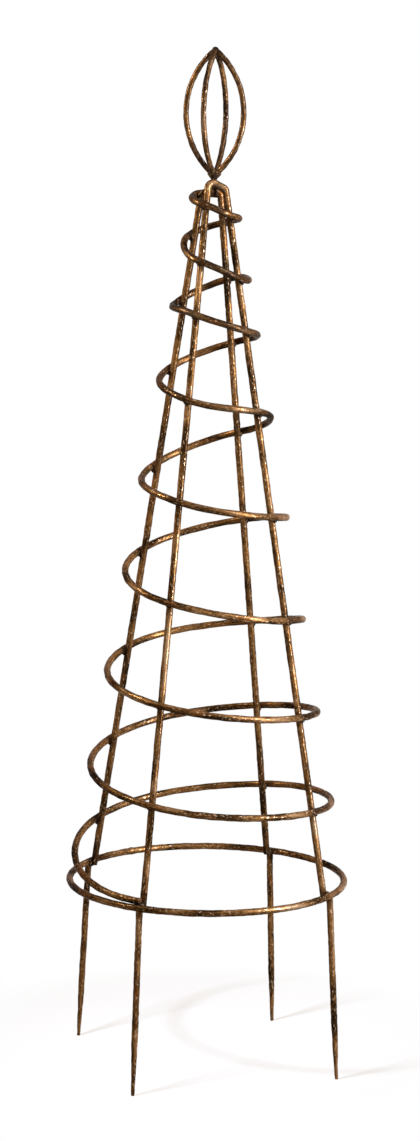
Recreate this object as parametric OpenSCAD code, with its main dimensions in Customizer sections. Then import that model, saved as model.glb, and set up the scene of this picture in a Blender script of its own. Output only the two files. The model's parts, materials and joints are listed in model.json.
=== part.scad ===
// Garden obelisk of bent round rod: two leg hoops, a base ring on four stakes,
// a conical spiral wound round the legs and an open finial of four curved ribs.
// Millimetres, Z up, origin on the ground in the middle of the base ring.

/* [Overall] */
// Height from the stake tips to the tip of the finial
height = 1500; // [1400:10:1600]
// Diameter of the rod in the leg hoops, base ring and spiral
rod_d = 10; // [10:0.5:12]

/* [Base] */
// Radius of the base ring, to the middle of its rod
ring_r = 204; // [195:1:215]
// Height of the base ring above the stake tips, to the middle of its rod
ring_z = 275; // [250:5:300]
// Diameter of a ground stake
stake_d = 9.5; // [8:0.5:9.5]
// Distance by which the stake tips stand outside the base ring
stake_splay = 16; // [10:1:25]
// Length of the pointed end of a stake
point_l = 75; // [50:5:100]
// Diameter of the blunt end of the point
tip_d = 5; // [4:0.5:6]
// Length of the flared head of a stake, under the ring
head_l = 14; // [12:1:20]
// Diameter of the flared head, at the ring
head_d = 10.5; // [10:0.25:11]
// Length by which a leg runs on below the middle of the ring
leg_tail = 3; // [1:0.5:3]

/* [Crown] */
// Distance of the legs from the middle, at the height of the front bridge
crown_r = 18; // [17:0.5:19]
// Depth of the middle of the front bridge below the foot of the finial
crown_drop = 15.5; // [15:0.5:18]
// Height of the front bridge's high bend above its low bend
bridge_rise = 12.5; // [10:0.5:13]
// Depth of the level rear bridge below the middle of the front bridge
rear_drop = 12; // [10:0.5:13]
// Radius of the bends, to the middle of the rod
bend_r = 7.5; // [7:0.5:8]
// Diameter of the stem under the cup
stem_d = 8; // [7:0.5:10]
// Depth of the stem's foot below the middle of the front bridge
stem_drop = 16; // [14:1:20]

/* [Spiral] */
// Depth at which the spiral starts, below the rear bridge
spiral_drop = 4; // [4:0.5:10]
// Turns of the spiral, from the rear right leg to the front left leg
turns = 8.5; // [7.5:1:9.5]
// Drop per turn at the top of the spiral
top_pitch = 30; // [28:1:36]
// Turns over which the spacing opens out to its full pitch
ramp_turns = 3.75; // [3:0.25:4.5]
// Part of a turn in which the end settles onto the base ring
settle_turns = 0.15; // [0.1:0.05:0.3]
// Angle at which the turns lean, high at the rear right and low at the front left
spiral_lean = 4; // [0:0.5:4.5]
// Share of the hand-wound unevenness in the height of the turns
hand_wound = 1; // [0:0.1:1]

/* [Finial] */
// Diameter of the ribs
rib_d = 8; // [7:0.5:9]
// Radius of the curve of a rib, to the middle of its rod
rib_bend_r = 111.5; // [108:0.5:118]
// Greatest distance of a rib from the middle
finial_r = 44.5; // [40:0.5:48]
// Distance of the rib feet from the middle
rib_foot_r = 3.5; // [3:0.5:5]
// Diameter of the cup under the ribs
cup_d = 20; // [20:0.5:24]
// Depth of the cup, from its top to its stem
cup_depth = 9; // [8:0.5:10]
// Height of the cup's rim
cup_rim = 2; // [1.5:0.5:3]
// Turn of the finial from the line of the legs
finial_turn = 7; // [0:1:15]

/* [Welds] */
// Radius of the weld beads
weld_r = 6.5; // [6:0.25:7]

/* [Hidden] */
$fn = 48;
bronze = [0.47, 0.35, 0.23];
dark_bronze = [0.33, 0.24, 0.16];

// Legs stand on the diagonals: rear right, rear left, front left, front right
CORNERS = ["rear_right", "rear_left", "front_left", "front_right"];
function corner(name) = [for (i = [0 : 3]) if (CORNERS[i] == name) i][0];
function leg_angle(i) = 45 + 90 * i;

// Hairline left between rods that lie against each other
hairline = 0.05;
rod_r = rod_d / 2;
rod_pitch = rod_d + hairline;

// Bends are a hair thicker than the straight runs, which end just inside them
bend_d = rod_d + 2 * hairline;
bend_lap = 0.5;
ring_sides = 288;

// A rib is cut from an arc whose outer side comes to a point on the axis at the full height
rib_sweep = 140;
rib_axis_r = rib_bend_r - finial_r;
rib_axis_z = height - sqrt(pow(rib_bend_r + rib_d / 2, 2) - rib_axis_r * rib_axis_r);
cup_z = rib_axis_z - sqrt(rib_bend_r * rib_bend_r - pow(rib_axis_r + rib_foot_r, 2));

// The legs run straight from the bridges to the inner side of the base ring
crown_z = cup_z - crown_drop;
leg_run = [ring_r - crown_r, crown_z - ring_z];
leg_lean = atan(leg_run.x / leg_run.y) - asin(rod_pitch / norm(leg_run));
function leg_r(z) = crown_r + (crown_z - z) * tan(leg_lean);
function polar(r, a, z) = [r * cos(a), r * sin(a), z];
function leg_point(i, z) = polar(leg_r(z), leg_angle(i), z);

// Foot, bend, bend and foot of each hoop; the front bridge slopes, the rear one is level
rear_z = crown_z - rear_drop;
function foot_point(name) = leg_point(corner(name), ring_z - leg_tail);
high_corner = leg_point(corner("front_left"), crown_z + bridge_rise / 2);
low_corner = leg_point(corner("front_right"), crown_z - bridge_rise / 2);
FRONT = [foot_point("front_left"), high_corner, low_corner, foot_point("front_right")];
REAR = [
    foot_point("rear_left"),
    leg_point(corner("rear_left"), rear_z),
    leg_point(corner("rear_right"), rear_z),
    foot_point("rear_right")
];

stem_foot_z = crown_z - stem_drop;

// Height by which each turn, wound by hand, rides above an even wind where it passes the
// rear left, front left, front right and rear right leg: one row for each turn
TURN_LIFT = [
    [10, 10, 2, 4],
    [3, -9, -20, -5],
    [-11, 6, 2, 4],
    [0, 6, 14, 2],
    [-6, 4, 5, 9],
    [7, 4, -2, -9],
    [-1, 2, 0, -2],
    [2, 3, 5, 12],
    [20, 0, 0, 0]
];
crossings = 4 * turns;
function crossing_lift(n) = n < 1 || n >= crossings || n > 4 * len(TURN_LIFT)
    ? 0
    : hand_wound * TURN_LIFT[floor((n - 1) / 4)][(n - 1) % 4];
function lift(t) =
    let (n = floor(4 * t), share = pow(sin(90 * (4 * t - n)), 2))
    (1 - share) * crossing_lift(n) + share * crossing_lift(n + 1);

// Height of the spiral after t turns: its pitch opens out from the top, stays even,
// and closes again where the end settles; the turns lean towards the front left
lean_rise = tan(spiral_lean);
spiral_out = rod_pitch / cos(leg_lean);
start_leg = corner("rear_right");
spiral_start_z = rear_z - spiral_drop;
mean_start_z = spiral_start_z - lean_rise * leg_r(spiral_start_z);
spiral_end_z = ring_z + rod_pitch;
mean_end_z = spiral_end_z + lean_rise * leg_r(spiral_end_z);
pitch = (mean_start_z - mean_end_z - top_pitch * ramp_turns / 2)
    / (turns - ramp_turns / 2 - settle_turns / 2);
function ramp_saving(t) = (pitch - top_pitch)
    * (ramp_turns / 2 - pow(max(ramp_turns - t, 0), 2) / (2 * ramp_turns));
function settle_saving(t) = pitch
    * pow(max(t - turns + settle_turns, 0), 2) / (2 * settle_turns);
function mean_z(t) = mean_start_z - pitch * t + ramp_saving(t) + settle_saving(t);
function spiral_angle(t) = leg_angle(start_leg) + 360 * t;
function spiral_z(t) = mean_z(t) + lean_rise * leg_r(mean_z(t)) * cos(360 * t) + lift(t);
function spiral_point(t) = polar(
    leg_r(spiral_z(t)) + spiral_out, spiral_angle(t), spiral_z(t));
spiral_sides = 12;
turn_steps = 40;
spiral_path = [for (i = [0 : turn_steps * turns]) spiral_point(i / turn_steps)];
spiral_inward = [for (i = [0 : turn_steps * turns])
    polar(-1, spiral_angle(i / turn_steps), 0)];

// Least gap between neighbouring turns, over all points more than half a turn apart
half_turn = turn_steps / 2;
least_gap = min([for (i = [0 : len(spiral_path) - 1 - half_turn])
    for (j = [i + half_turn : min(i + 3 * half_turn, len(spiral_path) - 1)])
        norm(spiral_path[i] - spiral_path[j])]) - rod_d;
echo(least_gap_between_turns = least_gap);

// Stakes run from the middle of the ring's rod out to the tips
foot_r = ring_r + stake_splay;
stake_l = norm([foot_r - ring_r, ring_z]);
stake_lean = atan((foot_r - ring_r) / ring_z);
tip_spare = 2;

// Length of the bars that cut the beads to fit against the rods, and the clearance that lets the
// spiral bend within a bead
weld_reach = 2 * rod_d;
bead_clear = 0.4;

function unit(v) = v / norm(v);

// Half the angle between the runs from p to a and to b, and the place on the run to a where
// the bend starts
function half_angle(a, p, b) = acos(unit(a - p) * unit(b - p)) / 2;
function bend_start(a, p, b) = p + unit(a - p) * bend_r / tan(half_angle(a, p, b));

// Middle of the straight run of a hoop's bridge
function bridge_middle(p) =
    (bend_start(p[2], p[1], p[0]) + bend_start(p[1], p[2], p[3])) / 2;

// The spiral starts along the rear hoop, and its first two beads hang under it, clear of the
// hoop's bends
hanging_beads = 2;
hanging_z = bend_start(REAR[0], REAR[1], REAR[2]).z - weld_r - 2 * hairline;

// One unbroken round rod along a path, with a corner of each section turned inward
module swept_rod(path, inward, d, sides) {
    last = len(path) - 1;
    points = [for (i = [0 : last])
        let (
            along = unit(path[min(i + 1, last)] - path[max(i - 1, 0)]),
            a = unit(inward[i] - (inward[i] * along) * along),
            b = cross(along, a)
        )
        for (k = [0 : sides - 1])
            path[i] + d / 2 * (cos(360 * k / sides) * a + sin(360 * k / sides) * b)];
    walls = [for (i = [0 : last - 1])
        for (k = [0 : sides - 1])
            let (p = i * sides + k, q = i * sides + (k + 1) % sides)
            each [[p, q + sides, q], [p, p + sides, q + sides]]];
    start = [for (k = [0 : sides - 1]) k];
    end = [for (k = [sides - 1 : -1 : 0]) last * sides + k];
    polyhedron(points = points, faces = concat([start], walls, [end]), convexity = 10);
}

// Straight round bar from p to q
module bar(p, q, d) {
    run = q - p;
    translate(p)
        rotate([0, acos(run.z / norm(run)), atan2(run.y, run.x)])
            cylinder(h = norm(run), d = d);
}

// Bend at the corner p of the straight runs to a and to b
module bend(a, p, b) {
    half = half_angle(a, p, b);
    centre = p + unit(unit(a - p) + unit(b - p)) * bend_r / sin(half);
    out = unit(bend_start(a, p, b) - centre);
    axis = unit(cross(b - p, a - p));
    side = cross(axis, out);
    multmatrix([
        [out.x, side.x, axis.x, centre.x],
        [out.y, side.y, axis.y, centre.y],
        [out.z, side.z, axis.z, centre.z],
        [0, 0, 0, 1]
    ])
        rotate_extrude(angle = 180 - 2 * half)
            translate([bend_r, 0]) circle(d = bend_d);
}

module ring_torus() {
    translate([0, 0, ring_z])
        rotate_extrude($fn = ring_sides)
            translate([ring_r, 0]) circle(d = rod_d);
}

// Straight bar along leg i, for cutting what lies against it
module leg_bar(i, z) {
    bar(leg_point(i, z - weld_reach), leg_point(i, z + weld_reach), rod_d);
}

// The two bends of a hoop, given as foot, bend, bend and foot
module hoop_bends(p) {
    bend(p[0], p[1], p[2]);
    bend(p[1], p[2], p[3]);
}

module hoop(p) {
    up = unit(p[1] - p[0]);
    over = unit(p[2] - p[1]);
    down = unit(p[3] - p[2]);
    color(bronze) {
        bar(p[0], bend_start(p[0], p[1], p[2]) + up * bend_lap, rod_d);
        bar(bend_start(p[2], p[1], p[0]) - over * bend_lap,
            bend_start(p[1], p[2], p[3]) + over * bend_lap, rod_d);
        hoop_bends(p);
        bar(bend_start(p[3], p[2], p[1]) - down * bend_lap, p[3], rod_d);
    }
}

module front_hoop() {
    hoop(FRONT);
}

module rear_hoop() {
    hoop(REAR);
}

module base_ring() {
    color(bronze) ring_torus();
}

// Pointed stake under corner i, hollowed at the top to seat against the ring
module stake(i) {
    spare_r = tip_d / 2 - tip_spare * (stake_d - tip_d) / 2 / point_l;
    color(bronze)
        difference() {
            rotate([0, 0, leg_angle(i)])
                translate([foot_r, 0, 0])
                    rotate([0, -stake_lean, 0])
                        rotate_extrude()
                            polygon([
                                [0, -tip_spare],
                                [spare_r, -tip_spare],
                                [stake_d / 2, point_l],
                                [stake_d / 2, stake_l - head_l],
                                [head_d / 2, stake_l],
                                [0, stake_l]
                            ]);
            ring_torus();
            rotate([0, 0, leg_angle(i)])
                translate([foot_r - stake_d, -stake_d, -2 * tip_spare])
                    cube([2 * stake_d, 2 * stake_d, 2 * tip_spare]);
        }
}

module spiral_rod() {
    color(bronze)
        swept_rod(spiral_path, spiral_inward, rod_d, spiral_sides);
}

// Flared cup under the finial, on a stem that is welded to both bridges
module finial_cup() {
    color(dark_bronze)
        rotate_extrude()
            polygon([
                [0, stem_foot_z],
                [stem_d / 2, stem_foot_z],
                [stem_d / 2, cup_z - cup_depth],
                [cup_d / 2, cup_z - cup_rim],
                [cup_d / 2, cup_z],
                [0, cup_z]
            ]);
}

// One curved rib, mitred against its neighbours and cut level on the cup
module finial_rib(i) {
    reach = 2 * finial_r;
    color(bronze)
        rotate([0, 0, leg_angle(i) + finial_turn])
            intersection() {
                translate([-rib_axis_r, 0, rib_axis_z])
                    rotate([90, 0, 0])
                        rotate_extrude(start = -rib_sweep / 2, angle = rib_sweep)
                            translate([rib_bend_r, 0]) circle(d = rib_d);
                translate([0, 0, cup_z])
                    linear_extrude(height - cup_z + rib_d)
                        polygon([[0, 0], [reach, -reach], [reach, reach]]);
            }
}

// Bead in the corners round the place where spiral and leg touch, at crossing n
module spiral_weld(n) {
    leg = (start_leg + n) % 4;
    step = n * turn_steps / 4;
    here = spiral_path[step];
    along = unit(spiral_path[step + 1] - spiral_path[max(step - 1, 0)]);
    normal = polar(cos(leg_lean), leg_angle(leg), sin(leg_lean));
    middle = n < hanging_beads
        ? leg_point(leg, hanging_z) + normal * rod_r
        : here - normal * rod_pitch / 2;
    difference() {
        translate(middle) sphere(weld_r);
        leg_bar(leg, middle.z);
        bar(here - along * weld_reach, here + along * weld_reach, rod_d + 2 * bead_clear);
    }
}

// The end of the spiral is held by the ring's bead at that corner
module spiral_welds() {
    color(dark_bronze)
        for (n = [0 : crossings - 1]) spiral_weld(n);
}

// Beads where each leg lies against the ring, beside the head of the stake
module ring_welds() {
    last = len(spiral_path) - 1;
    run_out = unit(spiral_path[last] - spiral_path[last - 1]);
    color(dark_bronze)
        for (i = [0 : 3])
            difference() {
                translate(polar(ring_r - rod_r, leg_angle(i), ring_z)) sphere(weld_r);
                ring_torus();
                leg_bar(i, ring_z);
                rotate([0, 0, leg_angle(i)])
                    bar([ring_r, 0, ring_z], [foot_r, 0, 0], head_d);
                bar(spiral_path[last] - run_out * weld_reach,
                    spiral_path[last] + run_out * weld_reach, rod_d);
            }
}

// Bead in the gap between the stem of the cup and the bridge of a hoop, with its poles turned
// towards the two
module crown_weld(p) {
    near = bridge_middle(p);
    near_r = norm([near.x, near.y]);
    gap_middle = (stem_d / 2 + near_r - rod_r) / 2;
    difference() {
        translate(polar(gap_middle, atan2(near.y, near.x), near.z))
            rotate([0, 90, atan2(near.y, near.x)])
                sphere(weld_r);
        bar(p[1], p[2], rod_d);
        translate([0, 0, near.z - weld_reach]) cylinder(h = 2 * weld_reach, d = stem_d);
    }
}

module crown_welds() {
    color(dark_bronze) {
        crown_weld(FRONT);
        crown_weld(REAR);
    }
}

front_hoop();
rear_hoop();
base_ring();
for (i = [0 : 3])
    stake(i);
spiral_rod();
finial_cup();
for (i = [0 : 3])
    finial_rib(i);
spiral_welds();
ring_welds();
crown_welds();
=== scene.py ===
"""Garden obelisk of antique bronze rod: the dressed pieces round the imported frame, and their stage.

Run as a script. Everything is in metres, +Z up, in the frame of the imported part.
"""

import json
import math
from types import SimpleNamespace
from typing import NamedTuple

import bpy
import numpy as np
from mathutils import Matrix, Vector

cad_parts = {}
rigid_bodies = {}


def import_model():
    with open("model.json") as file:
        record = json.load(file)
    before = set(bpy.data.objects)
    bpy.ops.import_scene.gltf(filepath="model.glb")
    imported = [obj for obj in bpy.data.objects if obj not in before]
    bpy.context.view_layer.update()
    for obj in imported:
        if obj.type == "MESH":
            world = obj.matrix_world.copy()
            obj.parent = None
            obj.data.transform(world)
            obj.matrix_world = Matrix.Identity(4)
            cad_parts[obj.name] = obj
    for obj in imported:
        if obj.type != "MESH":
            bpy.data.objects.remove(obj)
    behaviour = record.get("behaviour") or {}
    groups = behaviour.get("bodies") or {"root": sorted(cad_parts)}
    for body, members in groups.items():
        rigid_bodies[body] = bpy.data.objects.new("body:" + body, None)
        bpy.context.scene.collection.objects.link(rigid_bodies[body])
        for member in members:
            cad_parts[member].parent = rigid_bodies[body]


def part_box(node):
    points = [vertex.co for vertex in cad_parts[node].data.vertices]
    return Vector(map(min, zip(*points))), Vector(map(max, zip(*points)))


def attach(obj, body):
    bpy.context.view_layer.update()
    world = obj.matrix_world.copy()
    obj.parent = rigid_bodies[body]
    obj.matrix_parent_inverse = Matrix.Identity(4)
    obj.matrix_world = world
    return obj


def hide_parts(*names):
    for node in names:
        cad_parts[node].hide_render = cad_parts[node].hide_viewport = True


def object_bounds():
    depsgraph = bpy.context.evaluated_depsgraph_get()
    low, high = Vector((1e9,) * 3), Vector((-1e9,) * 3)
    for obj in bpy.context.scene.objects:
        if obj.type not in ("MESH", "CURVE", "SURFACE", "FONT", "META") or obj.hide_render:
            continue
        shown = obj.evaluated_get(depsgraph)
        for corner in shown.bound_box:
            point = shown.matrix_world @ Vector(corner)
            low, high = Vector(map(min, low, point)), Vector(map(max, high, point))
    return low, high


bl_info = {
    "name": "Garden Obelisk",
    "version": (1, 0, 0),
    "blender": (4, 5, 0),
    "location": "View3D > Sidebar > Obelisk",
    "description": "Antique bronze rod obelisk with a wound spiral and an open finial",
    "category": "Object",
}

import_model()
CAD_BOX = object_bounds()
RING_LOW, RING_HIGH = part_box("base_ring")
ROD = RING_HIGH.z - RING_LOW.z

BODY = "root"
CORNERS = ("rear_right", "rear_left", "front_left", "front_right")
REAR_RIGHT, REAR_LEFT, FRONT_LEFT, FRONT_RIGHT = range(4)
TURN = 2 * math.pi
MM = 0.001

# Gap between two rods that touch
HAIRLINE = 0.00005

# Millimetres by which each hand-wound turn rides above an even wind, where it passes the rear
# left, front left, front right and rear right leg: one row for each turn
TURN_LIFT = (
    (10, 10, 2, 4), (3, -9, -20, -5), (-11, 6, 2, 4), (0, 6, 14, 2), (-6, 4, 5, 9),
    (7, 4, -2, -9), (-1, 2, 0, -2), (2, 3, 5, 12), (20, 0, 0, 0))

# Beads at the top of the spiral that hang below the bends of the rear hoop
HANGING_BEADS = 2

# How far the burnt finish reaches from a weld
BURN_REACH = 0.0105

# Rods nearer to the axis than this, which is towards the top, are darkened more and more over the
# fade inwards
DARKENING_R = 0.125
DARKENING_FADE = 0.06

# How dark the finish is made nearest the axis, where it is 1 at a weld
AXIS_DARKENING = 0.76

# Unrolled length between the places where two pieces with neighbouring seeds read the finish
FINISH_SHIFT = 3.7

# Points along a straight run and round a bend of a hoop, before its sections are laid
RUN_POINTS = 200
BEND_POINTS = 61

# Places of the sections that round a cut end, as shares of the rounding
END_SHARES = np.array([0.0, 0.134, 0.5, 1.0])


class ObeliskSizes(bpy.types.PropertyGroup):
    """Sizes of the rods, the frame, the spiral and the finial."""

    height: bpy.props.FloatProperty(
        name="Height", description="From the stake tips to the tip of the finial",
        default=CAD_BOX[1].z, unit="LENGTH")
    rod_d: bpy.props.FloatProperty(
        name="Rod", description="Diameter of the rod in the hoops, ring and spiral",
        default=ROD, unit="LENGTH")
    ring_r: bpy.props.FloatProperty(
        name="Ring radius", description="Radius of the base ring, to the middle of its rod",
        default=(RING_HIGH.x - RING_LOW.x - ROD) / 2, unit="LENGTH")
    ring_z: bpy.props.FloatProperty(
        name="Ring height", description="Height of the base ring above the stake tips",
        default=(RING_HIGH.z + RING_LOW.z) / 2, unit="LENGTH")
    stake_d: bpy.props.FloatProperty(
        name="Stake", description="Diameter of a ground stake", default=0.0095, unit="LENGTH")
    stake_splay: bpy.props.FloatProperty(
        name="Stake splay", description="Distance of the stake tips outside the ring",
        default=0.016, unit="LENGTH")
    point_l: bpy.props.FloatProperty(
        name="Point length", description="Length of the forged point of a stake",
        default=0.075, unit="LENGTH")
    tip_d: bpy.props.FloatProperty(
        name="Tip", description="Diameter of the blunt end of the point",
        default=0.005, unit="LENGTH")
    head_l: bpy.props.FloatProperty(
        name="Head length", description="Length of the flared head of a stake",
        default=0.014, unit="LENGTH")
    head_d: bpy.props.FloatProperty(
        name="Head", description="Diameter of the flared head, at the ring",
        default=0.0105, unit="LENGTH")
    leg_tail: bpy.props.FloatProperty(
        name="Leg tail", description="Length by which a leg runs on below the ring's middle",
        default=0.003, unit="LENGTH")
    crown_r: bpy.props.FloatProperty(
        name="Crown radius", description="Distance of the legs from the middle at the crown",
        default=0.018, unit="LENGTH")
    crown_drop: bpy.props.FloatProperty(
        name="Crown drop", description="Depth of the front bridge below the foot of the finial",
        default=0.0155, unit="LENGTH")
    bridge_rise: bpy.props.FloatProperty(
        name="Bridge rise", description="Height of the front bridge's high bend above its low one",
        default=0.0125, unit="LENGTH")
    rear_drop: bpy.props.FloatProperty(
        name="Rear drop", description="Depth of the level rear bridge below the front one",
        default=0.012, unit="LENGTH")
    bend_r: bpy.props.FloatProperty(
        name="Bend radius", description="Radius of the bends, to the middle of the rod",
        default=0.0075, unit="LENGTH")
    stem_d: bpy.props.FloatProperty(
        name="Stem", description="Diameter of the stem under the cup",
        default=0.008, unit="LENGTH")
    stem_drop: bpy.props.FloatProperty(
        name="Stem drop", description="Depth of the stem's foot below the front bridge",
        default=0.016, unit="LENGTH")
    spiral_drop: bpy.props.FloatProperty(
        name="Spiral start", description="Start of the spiral below the rear bridge",
        default=0.004, unit="LENGTH")
    turns: bpy.props.FloatProperty(
        name="Turns", description="Turns of the spiral", default=8.5)
    top_pitch: bpy.props.FloatProperty(
        name="Top pitch", description="Drop per turn at the top of the spiral",
        default=0.030, unit="LENGTH")
    ramp_turns: bpy.props.FloatProperty(
        name="Ramp turns", description="Turns over which the spacing opens out", default=3.75)
    settle_turns: bpy.props.FloatProperty(
        name="Settle turns", description="Part of a turn in which the end settles on the ring",
        default=0.15)
    spiral_lean: bpy.props.FloatProperty(
        name="Spiral lean", description="Lean of the turns towards the front left",
        default=math.radians(4), subtype="ANGLE")
    hand_wound: bpy.props.FloatProperty(
        name="Hand wound", description="Share of the hand-wound unevenness of the turns",
        default=1.0)
    rib_d: bpy.props.FloatProperty(
        name="Rib", description="Diameter of the finial's ribs", default=0.008, unit="LENGTH")
    rib_bend_r: bpy.props.FloatProperty(
        name="Rib curve", description="Radius of the curve of a rib",
        default=0.1115, unit="LENGTH")
    finial_r: bpy.props.FloatProperty(
        name="Finial radius", description="Greatest distance of a rib from the middle",
        default=0.0445, unit="LENGTH")
    rib_foot_r: bpy.props.FloatProperty(
        name="Rib feet", description="Distance of the rib feet from the middle",
        default=0.0035, unit="LENGTH")
    finial_turn: bpy.props.FloatProperty(
        name="Finial turn", description="Turn of the finial from the line of the legs",
        default=math.radians(7), subtype="ANGLE")
    cup_d: bpy.props.FloatProperty(
        name="Cup", description="Diameter of the cup under the ribs",
        default=0.020, unit="LENGTH")
    cup_depth: bpy.props.FloatProperty(
        name="Cup depth", description="Depth of the cup, from its top to its stem",
        default=0.009, unit="LENGTH")
    cup_rim: bpy.props.FloatProperty(
        name="Cup rim", description="Height of the cup's rim", default=0.002, unit="LENGTH")
    weld_r: bpy.props.FloatProperty(
        name="Weld bead", description="Radius of the weld beads", default=0.0065, unit="LENGTH")
    relief: bpy.props.FloatProperty(
        name="Relief", description="Unevenness of the hand-worked rod, to each side",
        default=0.00016, unit="LENGTH")


class ObeliskFinish(bpy.types.PropertyGroup):
    """Colours of the rubbed bronze finish and of the burnt welds."""

    bronze: bpy.props.FloatVectorProperty(
        name="Bronze", description="Main brown of the finish", subtype="COLOR",
        default=(0.162, 0.0665, 0.0155))
    umber: bpy.props.FloatVectorProperty(
        name="Umber", description="Dark patches of the finish", subtype="COLOR",
        default=(0.022, 0.009, 0.002))
    gold: bpy.props.FloatVectorProperty(
        name="Gold", description="Rubbed flecks and edges", subtype="COLOR",
        default=(0.50, 0.32, 0.165))
    rust: bpy.props.FloatVectorProperty(
        name="Rust", description="Reddish blooms in the finish", subtype="COLOR",
        default=(0.18, 0.056, 0.009))
    burnt: bpy.props.FloatVectorProperty(
        name="Burnt", description="Specks, and the heat marks beside the welds",
        subtype="COLOR", default=(0.012, 0.006, 0.003))
    sheen: bpy.props.FloatVectorProperty(
        name="Sheen", description="Tint of what the finish reflects, most of all at the rims",
        subtype="COLOR", default=(0.26, 0.17, 0.08))


def layout(s):
    """Heights, slopes and angles that the pieces share, worked out as the part's source does."""
    rib_axis_r = s.rib_bend_r - s.finial_r
    rib_axis_z = s.height - math.sqrt((s.rib_bend_r + s.rib_d / 2) ** 2 - rib_axis_r ** 2)
    cup_z = rib_axis_z - math.sqrt(s.rib_bend_r ** 2 - (rib_axis_r + s.rib_foot_r) ** 2)
    crown_z = cup_z - s.crown_drop
    run = (s.ring_r - s.crown_r, crown_z - s.ring_z)
    rod_pitch = s.rod_d + HAIRLINE
    lean = math.atan(run[0] / run[1]) - math.asin(rod_pitch / math.hypot(*run))
    return SimpleNamespace(
        rib_axis_r=rib_axis_r, rib_axis_z=rib_axis_z, cup_z=cup_z, crown_z=crown_z,
        rear_z=crown_z - s.rear_drop, rod_pitch=rod_pitch, lean=lean,
        foot_r=s.ring_r + s.stake_splay, crossings=int(round(4 * s.turns)))


def corner_angle(i):
    """Legs stand on the diagonals, a quarter turn apart from the rear right."""
    return math.pi / 4 + math.pi / 2 * i


def polar(r, angle, z):
    """Points at distance r from the axis, at an angle from +X and at height z."""
    r, angle, z = np.broadcast_arrays(*(np.asarray(v, float) for v in (r, angle, z)))
    return np.stack([r * np.cos(angle), r * np.sin(angle), z], -1)


def leg_radius(s, z):
    """Distance of the legs from the axis: the crown's, plus the lean times the depth."""
    at = layout(s)
    return s.crown_r + (at.crown_z - np.asarray(z, float)) * math.tan(at.lean)


def leg_point(s, i, z):
    """The middle of leg i at height z."""
    return polar(leg_radius(s, z), corner_angle(i), z)


def unit(v):
    """v over its own length, along the last axis."""
    return v / np.linalg.norm(v, axis=-1, keepdims=True)


def hoop_corners(s, left, right, left_z, right_z):
    """Foot, bend, bend and foot of a hoop, whose bends are at the given heights."""
    foot_z = s.ring_z - s.leg_tail
    heights = (foot_z, left_z, right_z, foot_z)
    return [leg_point(s, i, z) for i, z in zip((left, left, right, right), heights)]


def front_corners(s):
    """The front hoop: its bridge slopes down to the right."""
    at, half = layout(s), s.bridge_rise / 2
    return hoop_corners(s, FRONT_LEFT, FRONT_RIGHT, at.crown_z + half, at.crown_z - half)


def rear_corners(s):
    """The rear hoop: its bridge is level, and lower."""
    at = layout(s)
    return hoop_corners(s, REAR_LEFT, REAR_RIGHT, at.rear_z, at.rear_z)


def bend_start(s, a, p, b):
    """The place on the run from the corner p to a where the bend towards b starts."""
    u, v = unit(a - p), unit(b - p)
    return p + u * s.bend_r / math.tan(math.acos(float(u @ v)) / 2)


def bridge_middle(s, corners):
    """The middle of the straight run of a hoop's bridge."""
    a, p, q, b = corners
    return (bend_start(s, q, p, a) + bend_start(s, p, q, b)) / 2


def hand_lift(s, t):
    """Height by which the turns ride over an even wind: set at each crossing with a leg, and
    eased from one crossing to the next by a squared sine."""
    crossings = layout(s).crossings
    listed = s.hand_wound * MM * np.ravel(TURN_LIFT)
    used = min(len(listed), crossings - 1)
    lifts = np.zeros(crossings + 2)
    lifts[1:used + 1] = listed[:used]
    n = np.minimum(np.floor(4 * t).astype(int), crossings)
    share = np.sin(math.pi / 2 * (4 * t - n)) ** 2
    return (1 - share) * lifts[n] + share * lifts[n + 1]


def spiral_angle(t):
    """The spiral starts at the rear right leg and turns towards the rear left."""
    return corner_angle(REAR_RIGHT) + TURN * t


def spiral_line(s, t):
    """The spiral after t turns. Its mean height falls by one pitch a turn, less what is saved
    while the pitch opens out at the top and closes at the end. A cosine of the angle from the
    rear right leg, times the local radius, leans every turn, and the hand-wound lift is added."""
    at = layout(s)
    rise = math.tan(s.spiral_lean)
    end_z = s.ring_z + at.rod_pitch
    start_z = at.rear_z - s.spiral_drop
    mean_start = start_z - rise * leg_radius(s, start_z)
    mean_end = end_z + rise * leg_radius(s, end_z)
    pitch = ((mean_start - mean_end - s.top_pitch * s.ramp_turns / 2)
             / (s.turns - s.ramp_turns / 2 - s.settle_turns / 2))
    opening = (pitch - s.top_pitch) * (
        s.ramp_turns / 2 - np.maximum(s.ramp_turns - t, 0) ** 2 / (2 * s.ramp_turns))
    settling = pitch * np.maximum(t - s.turns + s.settle_turns, 0) ** 2 / (2 * s.settle_turns)
    mean = mean_start - pitch * t + opening + settling
    z = mean + rise * leg_radius(s, mean) * np.cos(TURN * t) + hand_lift(s, t)
    out = at.rod_pitch / math.cos(at.lean)
    return polar(leg_radius(s, z) + out, spiral_angle(t), z)


def spiral_joints(s):
    """Places where the spiral is welded to the legs, all but the last, and the way out from the
    legs there. The first two hang under the spiral, below the bends of the rear hoop."""
    at = layout(s)
    n = np.arange(at.crossings)
    outward = polar(math.cos(at.lean), spiral_angle(n / 4), math.sin(at.lean))
    joints = spiral_line(s, n / 4) - outward * at.rod_pitch / 2
    rear = rear_corners(s)
    hanging_z = bend_start(s, rear[0], rear[1], rear[2])[2] - s.weld_r - 2 * HAIRLINE
    for i in range(HANGING_BEADS):
        leg = leg_point(s, REAR_RIGHT + i, hanging_z)
        joints[i] = leg + outward[i] * s.rod_d / 2
    return joints, outward


def ring_joints(s):
    """Places where the legs touch the inner side of the base ring."""
    return polar(s.ring_r - s.rod_d / 2, [corner_angle(i) for i in range(4)], s.ring_z)


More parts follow.
